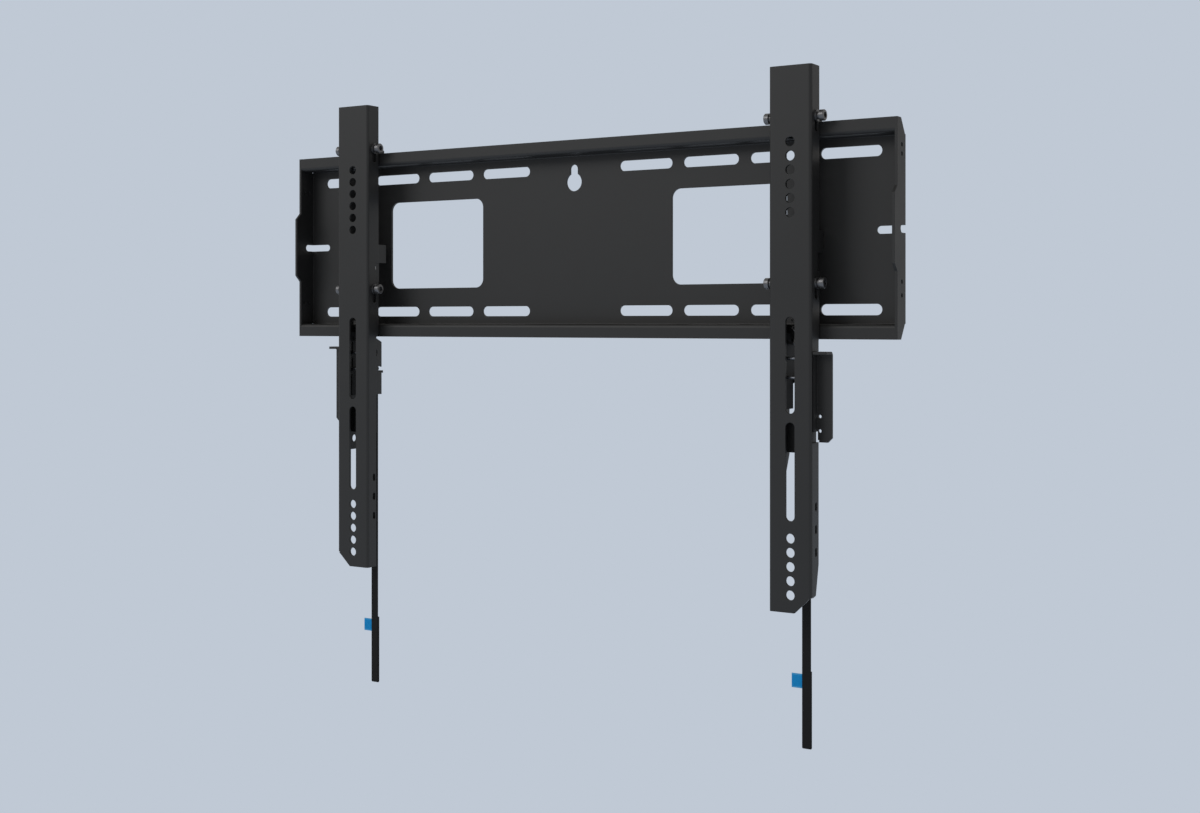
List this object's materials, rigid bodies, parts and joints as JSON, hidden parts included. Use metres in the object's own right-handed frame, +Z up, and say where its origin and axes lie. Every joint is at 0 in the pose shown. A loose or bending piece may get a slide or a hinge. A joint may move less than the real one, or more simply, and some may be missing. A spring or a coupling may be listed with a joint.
{
  "type": "fixed tv wall bracket",
  "caption": "Flat wall bracket for a television: slotted wall plate with folded lips and two hooked arms that slide along it, with sprung latches, kickstands and pull straps",
  "frame": {"origin": "middle of the wall plate, on the face that lies on the wall", "axes": "+X to the right along the wall, +Y into the wall, +Z up"},
  "size_m": [0.684, 0.0415, 0.6109],
  "materials": {
    "black_steel": "fine matt black powder coat",
    "blackened_screw": "satin black",
    "zinc": "bright zinc",
    "webbing": "black woven webbing",
    "tab_cloth": "blue woven cloth"
  },
  "bodies": {
    "plate": {"wall_plate": "black_steel"},
    "left_hanger": {"left_hook_bracket": "black_steel", "left_latch_upper_pin": "zinc", "left_latch_lower_pin": "zinc", "left_spring_anchor": "zinc", "left_latch_spring": "blackened_screw", "left_kickstand_pin": "black_steel", "left_upper_outer_screw": "blackened_screw", "left_upper_outer_washer": "blackened_screw", "left_upper_inner_screw": "blackened_screw", "left_upper_inner_washer": "blackened_screw", "left_lower_outer_screw": "blackened_screw", "left_lower_outer_washer": "blackened_screw", "left_lower_inner_screw": "blackened_screw", "left_lower_inner_washer": "blackened_screw"},
    "left_arm": {"left_arm": "black_steel"},
    "left_latch": {"left_latch": "black_steel", "left_strap": "webbing", "left_strap_tab": "tab_cloth"},
    "left_kickstand": {"left_kickstand": "black_steel"},
    "right_hanger": {"right_hook_bracket": "black_steel", "right_latch_upper_pin": "zinc", "right_latch_lower_pin": "zinc", "right_spring_anchor": "zinc", "right_latch_spring": "blackened_screw", "right_kickstand_pin": "black_steel", "right_upper_outer_screw": "blackened_screw", "right_upper_outer_washer": "blackened_screw", "right_upper_inner_screw": "blackened_screw", "right_upper_inner_washer": "blackened_screw", "right_lower_outer_screw": "blackened_screw", "right_lower_outer_washer": "blackened_screw", "right_lower_inner_screw": "blackened_screw", "right_lower_inner_washer": "blackened_screw"},
    "right_arm": {"right_arm": "black_steel"},
    "right_latch": {"right_latch": "black_steel", "right_strap": "webbing", "right_strap_tab": "tab_cloth"},
    "right_kickstand": {"right_kickstand": "black_steel"}
  },
  "joints": [
    {"name": "left_along_plate", "type": "slide", "parent": "plate", "child": "left_hanger", "axis": [1, 0, 0], "range_m": [-0.05, 0.15]},
    {"name": "left_height", "type": "slide", "parent": "left_hanger", "child": "left_arm", "axis": [0, 0, 1], "range_m": [0, 0.005]},
    {"name": "left_latch_pull", "type": "slide", "parent": "left_hanger", "child": "left_latch", "axis": [0, 0, 1], "range_m": [-0.01, 0], "stiffness_N_per_m": 400, "springref_m": 0.01, "deforming": ["left_latch_spring"]},
    {"name": "left_kickstand_swing", "type": "hinge", "parent": "left_hanger", "child": "left_kickstand", "pos_m": [-0.25, -0.032, -0.174], "axis": [-1, 0, 0], "range_deg": [0, 60]},
    {"name": "right_along_plate", "type": "slide", "parent": "plate", "child": "right_hanger", "axis": [1, 0, 0], "range_m": [-0.15, 0.05]},
    {"name": "right_height", "type": "slide", "parent": "right_hanger", "child": "right_arm", "axis": [0, 0, 1], "range_m": [0, 0.005]},
    {"name": "right_latch_pull", "type": "slide", "parent": "right_hanger", "child": "right_latch", "axis": [0, 0, 1], "range_m": [-0.01, 0], "stiffness_N_per_m": 400, "springref_m": 0.01, "deforming": ["right_latch_spring"]},
    {"name": "right_kickstand_swing", "type": "hinge", "parent": "right_hanger", "child": "right_kickstand", "pos_m": [0.25, -0.032, -0.174], "axis": [-1, 0, 0], "range_deg": [0, 60]}
  ]
}
